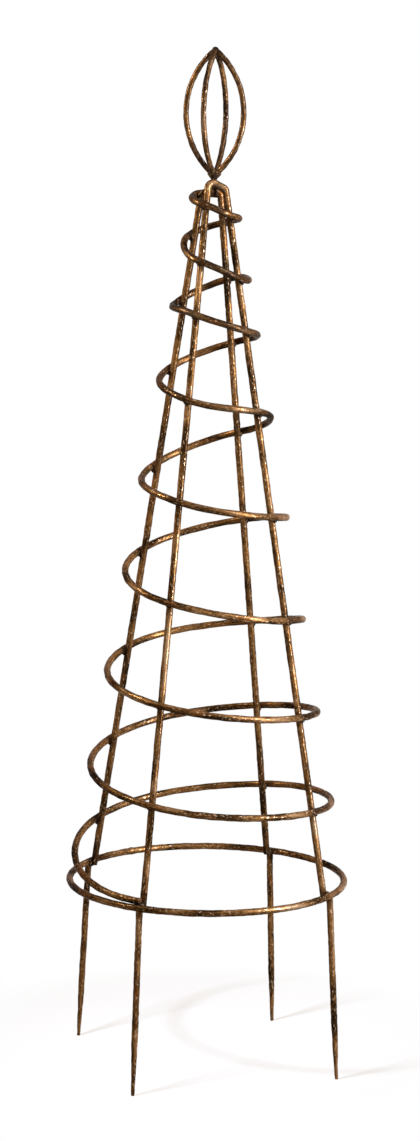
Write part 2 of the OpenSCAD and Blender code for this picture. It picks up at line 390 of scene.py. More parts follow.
def burn_marks(s):
    """All the places where the finish is burnt by welding."""
    bridges = [bridge_middle(s, corners) for corners in (front_corners(s), rear_corners(s))]
    crown = [*bridges, [0, 0, layout(s).cup_z]]
    return np.concatenate([spiral_joints(s)[0], ring_joints(s), crown])


def unevenness(arc, angle, length, size, seed, closed=False):
    """Radial relief of a hand-worked rod: a sum of waves of random length, turn and phase, along
    the rod and round it. On a closed rod each wave fits the length a whole number of times."""
    waves, shortest, longest, most_lobes = 14, 0.011, 0.12, 3
    rng = np.random.default_rng(seed)
    wave_l = np.exp(rng.uniform(math.log(shortest), math.log(longest), waves))
    count = length / wave_l
    count = np.round(count) if closed else count
    lobes = rng.integers(0, most_lobes + 1, waves)
    phase = rng.uniform(0, TURN, waves)
    along = TURN * count * (arc / length)[:, None, None]
    total = np.cos(along + lobes * angle[None, :, None] + phase).sum(-1)
    return size * total / math.sqrt(waves / 2)


def stations(length, step, end_round, fine=()):
    """Arc lengths of the sections of an open rod: even steps, closer ones in the stretches
    named in fine, and four close together that round each cut end."""
    edge = END_SHARES * end_round
    clear = 1.5 * end_round
    even = np.linspace(0, length, max(3, round(length / step)))
    even = even[(even > clear) & (even < length - clear)]
    for start, stop, fine_step in fine:
        even = even[(even < start - fine_step) | (even > stop + fine_step)]
        even = np.append(even, np.linspace(start, stop, round((stop - start) / fine_step) + 1))
    return np.concatenate([edge, np.sort(even), length - edge[::-1]])


def arc_lengths(points):
    """Distance along a line of points."""
    steps = np.linalg.norm(np.diff(points, axis=0), axis=1)
    return np.concatenate([[0.0], np.cumsum(steps)])


def along_line(points, arcs, at):
    """The line of points read off at the given arc lengths."""
    return np.stack([np.interp(at, arcs, points[:, j]) for j in range(3)], -1)


def directions(line, arcs, at, closed):
    """The way that a line runs at the given arc lengths: its chord over a short stretch."""
    length, half_chord = arcs[-1], 0.0004
    if closed:
        ahead, behind = (at + half_chord) % length, (at - half_chord) % length
    else:
        ahead, behind = np.minimum(at + half_chord, length), np.maximum(at - half_chord, 0)
    return unit(along_line(line, arcs, ahead) - along_line(line, arcs, behind))


def build_mesh(name, points, quads, fans, material, attributes, flat_ends=True):
    """A mesh object at the origin from its points and faces, with its point attributes."""
    mesh = bpy.data.meshes.new(name)
    faces = quads.tolist() + fans.tolist()
    mesh.from_pydata(points.tolist(), [], faces)
    smooth = np.ones(len(faces), bool)
    smooth[len(quads):] = not flat_ends
    mesh.polygons.foreach_set("use_smooth", smooth)
    for key, values in attributes.items():
        kind, field = ("FLOAT_VECTOR", "vector") if values.ndim == 2 else ("FLOAT", "value")
        layer = mesh.attributes.new(key, kind, "POINT")
        layer.data.foreach_set(field, values.astype(np.float32).ravel())
    mesh.materials.append(material)
    mesh.update()
    piece = bpy.data.objects.new(name, mesh)
    bpy.context.scene.collection.objects.link(piece)
    return piece


def grid_quads(rows, columns, closed):
    """Faces of a grid that closes round its columns, and round its rows where closed."""
    i = np.arange(rows if closed else rows - 1)[:, None]
    k = np.arange(columns)[None, :]
    j, m = (i + 1) % rows, (k + 1) % columns
    corners = [i * columns + k, i * columns + m, j * columns + m, j * columns + k]
    return np.stack(np.broadcast_arrays(*corners), -1).reshape(-1, 4)


def cap_fans(rows, columns, first, last):
    """Triangles that close both ends of a grid onto the points first and last."""
    k = np.arange(columns)
    m = (k + 1) % columns
    end = (rows - 1) * columns
    start = np.stack([np.full(columns, first), m, k], -1)
    stop = np.stack([np.full(columns, last), end + k, end + m], -1)
    return np.concatenate([start, stop])


def burn_at(points, marks):
    """How burnt the finish is: a bell of the distance to the nearest weld."""
    gap = np.linalg.norm(points[:, None, :] - marks[None], axis=-1).min(1)
    return np.exp(-((gap / BURN_REACH) ** 2))


def darkened_near_axis(points):
    """How much the finish is darkened near the axis: more, the nearer the rod lies to it, which
    is towards the top."""
    gap = np.linalg.norm(points[:, :2], axis=1)
    return np.clip((DARKENING_R - gap) / DARKENING_FADE, 0, 1)


def rod_piece(name, line, inward, shape, arcs_at, sides, seed, closed=False, axis_darkening=0.0):
    """A round rod: a circle carried along a line and kept square to it. The corner at angle 0 is
    turned inward. shape gives the radius at each arc length and angle, and the relief of the
    hand-worked surface is added to it. Of its attributes, rod_space is the place on the unrolled
    rod: across, across and along. rub is greatest on the outer side, and burn_and_axis_dark is
    greatest at the welds and also darkens the finish, by the share axis_darkening, the nearer the
    rod lies to the axis."""
    s = bpy.context.scene.obelisk_sizes
    arcs = arc_lengths(line)
    length = arcs[-1]
    middle = along_line(line, arcs, arcs_at)
    tangent = directions(line, arcs, arcs_at, closed)
    inner = along_line(inward, arcs, arcs_at)
    across = unit(inner - (inner * tangent).sum(-1, keepdims=True) * tangent)
    other = np.cross(tangent, across)
    angle = TURN * np.arange(sides) / sides
    radius = shape(arcs_at, angle, length)
    radius = radius + unevenness(arcs_at, angle, length, s.relief, seed, closed)
    cos, sin = np.cos(angle)[None, :, None], np.sin(angle)[None, :, None]
    ray = cos * across[:, None] + sin * other[:, None]
    points = (middle[:, None] + radius[..., None] * ray).reshape(-1, 3)
    unrolled = np.stack(np.broadcast_arrays(
        radius * np.cos(angle), radius * np.sin(angle), arcs_at[:, None]), -1).reshape(-1, 3)
    rub = np.broadcast_to(np.clip(-np.cos(angle), 0, 1) ** 2, radius.shape).reshape(-1)
    rows = len(arcs_at)
    quads = grid_quads(rows, sides, closed)
    fans = np.zeros((0, 3), int)
    if not closed:
        fans = cap_fans(rows, sides, rows * sides, rows * sides + 1)
        points = np.concatenate([points, middle[[0, -1]]])
        unrolled = np.concatenate([unrolled, [[0, 0, 0], [0, 0, length]]])
        rub = np.concatenate([rub, [0, 0]])
    piece = build_mesh(name, points, quads, fans, antique_bronze(), {
        "rod_space": unrolled + np.array([0, 0, seed * FINISH_SHIFT]),
        "rub": rub,
        # Burnt at the welds, and darkened by the given share the nearer the rod lies to the axis
        "burn_and_axis_dark": np.maximum(burn_at(points, burn_marks(s)), axis_darkening * darkened_near_axis(points)),
    })
    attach(piece, BODY)
    return piece


def end_drop(gap, end_round):
    """How much thinner a cut end is at a distance from its face: the drop of a quarter circle."""
    near = np.clip(gap / end_round, 0, 1)
    return end_round * (1 - np.sqrt(1 - (1 - near) ** 2))


def cut_rod(diameter, end_round):
    """Radius of a plain rod: even, and less where its cut ends are rounded."""
    def shape(arc, angle, length):
        drop = end_drop(np.minimum(arc, length - arc), end_round)
        return np.repeat((diameter / 2 - drop)[:, None], len(angle), 1)
    return shape


def bent_line(s, corners):
    """A line through corners with its inner corners rounded: straight runs, and arcs swung from
    one run to the next about the bend's middle. Also the arc lengths of the bends."""
    parts, bends = [], []
    last, run_at = corners[0], 0.0
    for a, p, b in zip(corners, corners[1:], corners[2:]):
        u, v = unit(a - p), unit(b - p)
        half = math.acos(float(u @ v)) / 2
        middle = p + unit(u + v) * s.bend_r / math.sin(half)
        start, stop = bend_start(s, a, p, b), bend_start(s, b, p, a)
        sweep = math.pi - 2 * half
        f = np.linspace(0, 1, BEND_POINTS)[:, None]
        arc = middle + ((start - middle) * np.sin((1 - f) * sweep)
                        + (stop - middle) * np.sin(f * sweep)) / math.sin(sweep)
        parts += [np.linspace(last, start, RUN_POINTS)[:-1], arc[:-1]]
        bend_at = run_at + np.linalg.norm(start - last)
        run_at = bend_at + sweep * s.bend_r
        bends.append((bend_at, run_at))
        last = stop
    parts.append(np.linspace(last, corners[-1], RUN_POINTS))
    return np.concatenate(parts), bends


class Shader:
    """Small helper that adds nodes to a material or a world and joins them."""

    def __init__(self, owner):
        owner.use_nodes = True
        self.owner = owner
        self.tree = owner.node_tree
        self.tree.nodes.clear()

    def node(self, kind, inputs, **settings):
        """A new node's outputs, after its settings are set and its inputs are set or linked."""
        made = self.tree.nodes.new(kind)
        for key, value in settings.items():
            setattr(made, key, value)
        for key, value in inputs.items():
            if isinstance(value, bpy.types.NodeSocket):
                self.tree.links.new(value, made.inputs[key])
            else:
                made.inputs[key].default_value = value
        return made.outputs

    def attribute(self, name, output):
        return self.node("ShaderNodeAttribute", {}, attribute_name=name)[output]

    def object_place(self):
        return self.node("ShaderNodeTexCoord", {})["Object"]

    def stretched(self, place, along):
        return self.node("ShaderNodeMapping", {"Vector": place, "Scale": (1, 1, along)})["Vector"]

    def noise(self, place, scale, detail, roughness):
        return self.node("ShaderNodeTexNoise", {
            "Vector": place, "Scale": scale, "Detail": detail, "Roughness": roughness})["Fac"]

    def ramp(self, value, low, high, to_low=0.0, to_high=1.0):
        """to_low up to low, to_high from high on, and eased between them."""
        return self.node("ShaderNodeMapRange", {
            "Value": value, "From Min": low, "From Max": high, "To Min": to_low,
            "To Max": to_high}, interpolation_type="SMOOTHSTEP")["Result"]

    def length(self, place):
        return self.node("ShaderNodeVectorMath", {0: place}, operation="LENGTH")["Value"]

    def math(self, operation, a, b):
        return self.node("ShaderNodeMath", {0: a, 1: b}, operation=operation)[0]

    def mix(self, share, a, b, blend="MIX"):
        a, b = (v if isinstance(v, bpy.types.NodeSocket) else (*v, 1) for v in (a, b))
        return self.node("ShaderNodeMix", {"Factor": share, 6: a, 7: b}, data_type="RGBA",
                         blend_type=blend)[2]

    def background_rays(self):
        """1 for what the camera sees directly, in a reflection or through glass."""
        path = self.node("ShaderNodeLightPath", {})
        seen = self.math("MAXIMUM", path["Is Camera Ray"], path["Is Glossy Ray"])
        return self.math("MAXIMUM", seen, path["Is Transmission Ray"])

    def finish(self, colour, roughness, height, metallic, gloss, tint, depth, strength):
        """The material, with its height pressed into the surface to a depth."""
        bump = self.node("ShaderNodeBump", {
            "Strength": strength, "Distance": depth, "Height": height})["Normal"]
        coat = self.node("ShaderNodeBsdfPrincipled", {
            "Base Color": colour, "Roughness": roughness, "Metallic": metallic,
            "Specular IOR Level": gloss, "Specular Tint": (*tint, 1), "Normal": bump})[0]
        self.node("ShaderNodeOutputMaterial", {"Surface": coat})
        return self.owner


def antique_bronze():
    """Brown bronze finish, brushed on along the rod and rubbed back: dark patches, reddish
    blooms, lengthwise streaks, gold flecks, black specks, and burnt stretches at the welds, with
    a darkening that grows towards the axis, both broken up by the blooms."""
    known = bpy.data.materials.get("antique_bronze")
    if known:
        return known
    c = bpy.context.scene.obelisk_finish
    n = Shader(bpy.data.materials.new("antique_bronze"))
    place = n.attribute("rod_space", "Vector")
    patches = n.noise(n.stretched(place, along=0.3), scale=45, detail=4.0, roughness=0.6)
    blooms = n.noise(n.stretched(place, along=0.4), scale=110, detail=3.0, roughness=0.6)
    streaks = n.noise(n.stretched(place, along=0.07), scale=420, detail=3.0, roughness=0.6)
    mottle = n.noise(n.stretched(place, along=0.5), scale=420, detail=3.0, roughness=0.6)
    grain = n.noise(place, scale=1300, detail=2.0, roughness=0.6)
    colour = n.mix(n.ramp(patches, 0.38, 0.58), c.umber, c.bronze)
    colour = n.mix(n.ramp(blooms, 0.55, 0.70, 0.0, 0.5), colour, c.rust)
    dulled = n.mix(1.0, colour, (0.38, 0.34, 0.30), "MULTIPLY")
    colour = n.mix(n.ramp(streaks, 0.35, 0.68, 0.0, 0.8), colour, dulled)
    colour = n.mix(n.ramp(mottle, 0.56, 0.70, 0.0, 0.6), colour, c.gold)
    colour = n.mix(n.ramp(mottle, 0.45, 0.33, 0.0, 0.9), colour, c.burnt)
    rubbed = n.math("MULTIPLY", n.attribute("rub", "Fac"), n.ramp(patches, 0.5, 0.7, 0.0, 0.25))
    colour = n.mix(rubbed, colour, c.gold)
    # Burnt near the welds, and darkened the nearer the rod lies to the axis
    burn_and_axis_dark = n.math("MULTIPLY", n.attribute("burn_and_axis_dark", "Fac"), n.ramp(blooms, 0.40, 0.60, 1.0, 0.4))
    colour = n.mix(burn_and_axis_dark, colour, c.burnt)
    height = n.math("ADD", n.math("MULTIPLY", mottle, 0.5), n.math("MULTIPLY", grain, 0.2))
    height = n.math("ADD", height, n.math("MULTIPLY", streaks, 0.3))
    roughness = n.ramp(mottle, 0.3, 0.7, 0.38, 0.25)
    gloss = n.ramp(patches, 0.38, 0.62, 0.01, 0.06)
    return n.finish(colour, roughness, height, metallic=0.5, gloss=gloss, tint=c.sheen,
                    depth=0.0004, strength=0.8)


def burnt_weld():
    """Weld metal under the finish: near black, with brown scale and a few bright slag grains."""
    known = bpy.data.materials.get("burnt_weld")
    if known:
        return known
    c = bpy.context.scene.obelisk_finish
    n = Shader(bpy.data.materials.new("burnt_weld"))
    place = n.object_place()
    scale = n.noise(place, scale=190, detail=4.0, roughness=0.65)
    slag = n.noise(place, scale=620, detail=2.0, roughness=0.6)
    colour = n.mix(n.ramp(scale, 0.38, 0.62), c.burnt, c.umber)
    colour = n.mix(n.ramp(scale, 0.56, 0.70, 0.0, 0.7), colour, c.bronze)
    colour = n.mix(n.ramp(slag, 0.62, 0.72, 0.0, 0.8), colour, c.gold)
    height = n.math("ADD", n.math("MULTIPLY", scale, 0.7), n.math("MULTIPLY", slag, 0.4))
    roughness = n.ramp(slag, 0.35, 0.65, 0.62, 0.42)
    return n.finish(colour, roughness, height, metallic=0.3, gloss=0.2, tint=c.sheen,
                    depth=0.0007, strength=0.6)


class OBELISK_OT_leg_hoops(bpy.types.Operator):
    """Bend the two hoops: each is one rod that makes two legs and the bridge between them"""

    bl_idname = "obelisk.leg_hoops"
    bl_label = "Leg Hoops"

    def execute(self, context):
        s = context.scene.obelisk_sizes
        end_round, step, bend_step, sides = 0.0008, 0.006, 0.0011, 28
        hoops = (("front_hoop", front_corners(s), 11), ("rear_hoop", rear_corners(s), 12))
        for name, corners, seed in hoops:
            line, bends = bent_line(s, corners)
            plane = np.cross(corners[1] - corners[0], corners[2] - corners[1])
            plane = unit(plane) * -np.sign(plane[1] * corners[1][1])
            inward = np.repeat(plane[None], len(line), 0)
            fine = [(start, stop, bend_step) for start, stop in bends]
            arcs_at = stations(arc_lengths(line)[-1], step, end_round, fine)
            piece = rod_piece("dressed_" + name, line, inward, cut_rod(s.rod_d, end_round),
                              arcs_at, sides, seed)
            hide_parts(name)
        return {"FINISHED"}


class OBELISK_OT_base_ring(bpy.types.Operator):
    """Roll the base ring, closed by a butt weld at the back"""

    bl_idname = "obelisk.base_ring"
    bl_label = "Base Ring"

    def execute(self, context):
        s = context.scene.obelisk_sizes
        seam_at, seam_rise, seam_reach = math.radians(108), 0.0005, 0.0035
        ripple_l, ripple_share = 0.0008, 0.4
        seam_step, seam_steps, seam_clear = 0.0008, 12, 0.011
        line_points, steps, sides = 1441, 288, 28
        turn = seam_at + np.linspace(0, TURN, line_points)
        line = polar(s.ring_r, turn, s.ring_z)
        inward = polar(-1.0, turn, 0.0)

        def ring_rod(arc, angle, length):
            """An even rod that swells at its seam by a bell of the distance, with ripples."""
            gap = np.minimum(arc, length - arc)
            bell = np.exp(-((gap / seam_reach) ** 2))
            seam = seam_rise * bell * (1 + ripple_share * np.cos(gap / ripple_l))
            return np.repeat((s.rod_d / 2 + seam)[:, None], len(angle), 1)

        length = arc_lengths(line)[-1]
        near = np.arange(1, seam_steps + 1) * seam_step
        even = np.linspace(0, length, steps, endpoint=False)
        even = even[(even > seam_clear) & (even < length - seam_clear)]
        arcs_at = np.concatenate([[0.0], near, even, (length - near)[::-1]])
        piece = rod_piece("dressed_base_ring", line, inward, ring_rod, arcs_at, sides, seed=22,
                          closed=True)
        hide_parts("base_ring")
        return {"FINISHED"}


class OBELISK_OT_ground_stakes(bpy.types.Operator):
    """Forge the four stakes: flared under the ring, straight, then drawn to a blunt point"""

    bl_idname = "obelisk.ground_stakes"
    bl_label = "Ground Stakes"

    def execute(self, context):
        s = context.scene.obelisk_sizes
        at = layout(s)
        end_round, step, sides, first_seed = 0.0006, 0.0035, 24, 35
        flat_depth, flat_reach, flat_twist = 0.035, 1.1, 0.3
        head_gap = 0.0015

        def forged(arc, angle, length):
            """Tip, taper, shank and flared head, with eight soft hammer flats that wind a little
            round the taper and die out up it."""
            knots = [0, s.point_l, length - s.head_l, length]
            sizes = [s.tip_d / 2, s.stake_d / 2, s.stake_d / 2, s.head_d / 2]
            plain = np.interp(arc, knots, sizes) - end_drop(arc, end_round)
            taper = np.clip((s.point_l * flat_reach - arc) / s.point_l, 0, 1)
            twist = flat_twist * arc / s.point_l
            flats = flat_depth * taper[:, None] * np.cos(4 * (angle[None] + twist[:, None]))
            return plain[:, None] * (1 - np.abs(flats))

        for i, corner in enumerate(CORNERS):
            tip = polar(at.foot_r, corner_angle(i), 0.0)
            head = polar(s.ring_r, corner_angle(i), s.ring_z)
            head = head - unit(head - tip) * head_gap
            line = np.linspace(tip, head, 2 * RUN_POINTS)
            inward = np.repeat(polar(-1.0, corner_angle(i), 0.0)[None], len(line), 0)
            arcs_at = stations(arc_lengths(line)[-1], step, end_round)
            piece = rod_piece("dressed_stake_" + corner, line, inward, forged, arcs_at, sides,
                              first_seed + i)
            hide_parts("stake_" + corner)
        return {"FINISHED"}


class OBELISK_OT_spiral_rod(bpy.types.Operator):
    """Wind the spiral round the outside of the legs, from under the crown to the base ring"""

    bl_idname = "obelisk.spiral_rod"
    bl_label = "Spiral Rod"

    def execute(self, context):
        s = context.scene.obelisk_sizes
        end_round, step, sides, line_points = 0.0008, 0.0045, 26, 6000
        t = np.linspace(0, s.turns, line_points)
        line = spiral_line(s, t)
        inward = polar(-1.0, spiral_angle(t), 0.0)
        arcs_at = stations(arc_lengths(line)[-1], step, end_round)
        # The turns are darkened the nearer they lie to the axis, which is towards the top
        piece = rod_piece("dressed_spiral", line, inward, cut_rod(s.rod_d, end_round), arcs_at,
                          sides, seed=41, axis_darkening=AXIS_DARKENING)
        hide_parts("spiral_rod")
        return {"FINISHED"}


class OBELISK_OT_finial(bpy.types.Operator):
    """Bend the four ribs of the finial to a point, and turn the cup that they stand on"""

    bl_idname = "obelisk.finial"
    bl_label = "Finial"

    def execute(self, context):
        s = context.scene.obelisk_sizes
        at = layout(s)
        end_round, step, sides, line_points, first_seed = 0.0004, 0.0028, 24, 700, 51
        sunk = 0.0012
        foot = -math.acos((at.rib_axis_r + s.rib_foot_r) / s.rib_bend_r) - sunk / s.rib_bend_r
        top = math.acos(at.rib_axis_r / (s.rib_bend_r + s.rib_d / 2))
        swing = np.linspace(foot, top, line_points)
        for i in range(4):
            angle = corner_angle(i) + s.finial_turn
            line = polar(s.rib_bend_r * np.cos(swing) - at.rib_axis_r, angle,
                         at.rib_axis_z + s.rib_bend_r * np.sin(swing))
            middle = polar(-at.rib_axis_r, angle, at.rib_axis_z)
            inward = unit(middle - line)
            arcs_at = stations(arc_lengths(line)[-1], step, end_round)
            name = f"finial_rib_{i + 1}"
            # The ribs lie near the axis, so they get the full darkening
            piece = rod_piece("dressed_" + name, line, inward, cut_rod(s.rib_d, end_round),
                              arcs_at, sides, first_seed + i, axis_darkening=AXIS_DARKENING)
            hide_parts(name)
        self.turn_cup(s, at)
        return {"FINISHED"}

    def turn_cup(self, s, at):
        """The cup: an outline of stem, flare, rim and top turned round the axis, its corners
        softened by a running mean along the outline, with a little unevenness that dies out
        towards the axis."""
        core_r, lump_size, seed = 0.0006, 0.00035, 61
        line_points, mean_points, rows, sides = 400, 13, 64, 40
        foot_z = at.crown_z - s.stem_drop
        outline = np.array([
            [core_r, foot_z], [s.stem_d / 2, foot_z], [s.stem_d / 2, at.cup_z - s.cup_depth],
            [s.cup_d / 2, at.cup_z - s.cup_rim], [s.cup_d / 2, at.cup_z], [core_r, at.cup_z]])
        arcs = arc_lengths(outline)
        fine = np.linspace(0, arcs[-1], line_points)
        mean = np.ones(mean_points) / mean_points
        padded = [np.pad(np.interp(fine, arcs, column), mean_points // 2, mode="edge")
                  for column in outline.T]
        pick = np.linspace(0, line_points - 1, rows).round().astype(int)
        r, z = (np.convolve(column, mean, "valid")[pick] for column in padded)
        angle = TURN * np.arange(sides) / sides
        lumps = unevenness(fine[pick], angle, arcs[-1], lump_size, seed)
        lumps = lumps * np.clip(r / s.cup_d * 3, 0, 1)[:, None]
        points = polar(r[:, None] + lumps, angle[None, :], z[:, None]).reshape(-1, 3)
        points = np.concatenate([points, [[0, 0, z[0]], [0, 0, z[-1]]]])
        quads = grid_quads(rows, sides, False)
        fans = cap_fans(rows, sides, rows * sides, rows * sides + 1)
        cup = build_mesh("dressed_finial_cup", points, quads, fans, burnt_weld(), {})
        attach(cup, BODY)
        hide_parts("finial_cup")


def bead_group(name, middles, axes, sizes, seed):
    """Weld beads: each is a ball stretched to its three sizes along its three axes, with a few
    random lobes round it and a fine ripple down its long axis, as a weld pool leaves."""
    rows, sides = 15, 22
    lobe_depth, most_tilt, ripple_depth, ripples = 0.05, 2, 0.03, 9
    rng = np.random.default_rng(seed)
    count = len(middles)
    down = np.linspace(0, math.pi, rows + 2)[1:-1]
    around = TURN * np.arange(sides) / sides
    lobes = np.arange(2, 6)
    depth = rng.normal(0, lobe_depth, (count, len(lobes))) / np.sqrt(lobes - 1)
    phase = rng.uniform(0, TURN, (count, len(lobes)))
    tilt = rng.uniform(-most_tilt, most_tilt, (count, len(lobes)))
    wave = np.cos(lobes * around[:, None] + phase[:, None, None, :]
                  + tilt[:, None, None, :] * down[None, :, None, None])
    swell = (depth[:, None, None, :] * wave).sum(-1) * np.sin(down)[None, :, None]
    start = rng.uniform(0, TURN, (count, 1))
    ripple = ripple_depth * np.cos(ripples * down + start)[:, :, None]
    reach = 1 + swell + ripple
    ball = np.stack(np.broadcast_arrays(
        np.sin(down)[:, None] * np.cos(around), np.sin(down)[:, None] * np.sin(around),
        np.cos(down)[:, None]), -1)
    local = reach[..., None] * ball[None] * sizes[:, None, None, :]
    points = middles[:, None, None] + np.einsum("nrsj,njk->nrsk", local, axes)
    pole = np.array([[0, 0, 1.0], [0, 0, -1.0]]) * sizes[:, None, :]
    poles = middles[:, None] + np.einsum("npj,njk->npk", pole, axes)
    each = rows * sides
    quads = grid_quads(rows, sides, False)
    fans = cap_fans(rows, sides, each, each + 1)
    block = np.concatenate([points.reshape(count, each, 3), poles], 1)
    shift = (np.arange(count) * (each + 2))[:, None, None]
    quads = (quads[None, :, ::-1] + shift).reshape(-1, 4)
    fans = (fans[None, :, ::-1] + shift).reshape(-1, 3)
    piece = build_mesh(name, block.reshape(-1, 3), quads, fans, burnt_weld(), {}, flat_ends=False)
    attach(piece, BODY)
    return piece


class OBELISK_OT_weld_beads(bpy.types.Operator):
    """Lay the weld beads: spiral to legs, legs to ring and stakes, and the crown"""

    bl_idname = "obelisk.weld_beads"
    bl_label = "Weld Beads"

    def execute(self, context):
        s = context.scene.obelisk_sizes
        self.spiral_beads(s)
        self.ring_beads(s)
        self.crown_beads(s)
        return {"FINISHED"}

    def spiral_beads(self, s):
        """A bead at each place where the spiral is welded to a leg, sagging a little down the
        leg."""
        least_sag, most_sag = 0.0008, 0.0026
        least, most = [0.74, 0.66, 0.80], [0.92, 0.76, 1.0]
        rng = np.random.default_rng(71)
        joints, outward = spiral_joints(s)
        sideways = unit(np.cross([0.0, 0.0, 1.0], outward))
        down = np.cross(sideways, outward)
        sag = rng.uniform(least_sag, most_sag, (len(joints), 1))
        sag[:HANGING_BEADS] = 0.0
        sizes = s.weld_r * rng.uniform(least, most, (len(joints), 3))
        axes = np.stack([sideways, outward, down], 1)
        beads = bead_group("spiral_beads", joints + down * sag, axes, sizes, seed=72)
        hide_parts("spiral_welds")

    def ring_beads(self, s):
        """A bead where each leg lies against the base ring."""
        least, most = [0.75, 0.9, 0.9], [0.85, 1.05, 1.05]
        rng = np.random.default_rng(75)
        angle = np.array([corner_angle(i) for i in range(4)])
        axes = np.stack([polar(1.0, angle, 0.0), polar(1.0, angle + math.pi / 2, 0.0),
                         polar(0.0, angle, 1.0)], 1)
        sizes = s.weld_r * rng.uniform(least, most, (4, 3))
        beads = bead_group("ring_beads", ring_joints(s), axes, sizes, seed=73)
        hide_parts("ring_welds")

    def crown_beads(self, s):
        """Beads between the stem and the two bridges, one in the feet of the ribs, and one under
        their tip."""
        at = layout(s)
        foot_rise, tip_drop = 0.001, 0.0115
        bridge_bead, foot_bead, tip_bead = (
            [0.0062, 0.0056, 0.0060], [0.0080, 0.0080, 0.0050], [0.0052, 0.0052, 0.0058])
        bridges = np.array([bridge_middle(s, front_corners(s)), bridge_middle(s, rear_corners(s))])
        reach = np.linalg.norm(bridges[:, :2], axis=1)
        share = (s.stem_d / 2 + reach - s.rod_d / 2) / (2 * reach)
        joints = bridges * np.stack([share, share, np.ones(2)], -1)
        ends = [[0, 0, at.cup_z + foot_rise], [0, 0, s.height - tip_drop]]
        places = np.concatenate([joints, ends])
        sizes = np.array([bridge_bead, bridge_bead, foot_bead, tip_bead])
        axes = np.repeat(np.eye(3)[None], len(places), 0)
        beads = bead_group("crown_beads", places, axes, sizes, seed=74)
        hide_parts("crown_welds")


# The photograph's viewpoint: turn, tilt and roll in radians, metres, and the lens in millimetres
CAMERA_AZIMUTH = math.radians(-16.8)
CAMERA_DISTANCE = 4.9797
CAMERA_HEIGHT = 1.5325
CAMERA_TILT = 0.15793
CAMERA_ROLL = 0.01046
CAMERA_LENS = 108.37


class Softbox(NamedTuple):
    """A lamp: its place and target as seen from the camera, its width and height, its watts, its
    tint and the angle that it spreads its light over."""

    name: str
    place: tuple
    target: tuple
    size: tuple
    power: float
    tint: tuple
    spread: float = math.pi


def floor_lamp(name, size, power):
    """A small lamp at the front left for the floor alone, aimed beyond the ring."""
    return Softbox(name, (-0.80, -0.73, 1.333), (0.6, 0.55, 0), (size, size), power,
                   (0.85, 0.95, 1.2), math.radians(80))


# Lamps for the obelisk alone
OBELISK_LAMPS = (
    Softbox("front_softbox", (0.1, -2.6, 1.9), (0, 0, 0.5), (0.5, 0.5), 12.0, (0.95, 1.0, 1.1)),
    Softbox("left_softbox", (-1.2, -0.15, 1.7), (0, 0, 1.05), (0.25, 0.6), 5.2,
            (0.96, 1.0, 1.05), math.radians(60)),
    Softbox("side_softbox", (1.33, -0.80, 1.35), (0, 0, 1.1), (0.22, 2.0), 144.0,
            (0.85, 1.03, 1.52)))

# Lamps in whose light only the ring, or only the stakes, shade the floor
RING_FLOOR_LAMP = floor_lamp("ring_floor_lamp", 0.12, 2.6)
STAKE_FLOOR_LAMP = floor_lamp("stake_floor_lamp", 0.28, 3.2)


def seen_from_camera(x, y, z):
    """A place given as right of, beyond and above the obelisk, as the camera sees it."""
    return Matrix.Rotation(CAMERA_AZIMUTH, 4, "Z") @ Vector((x, y, z))


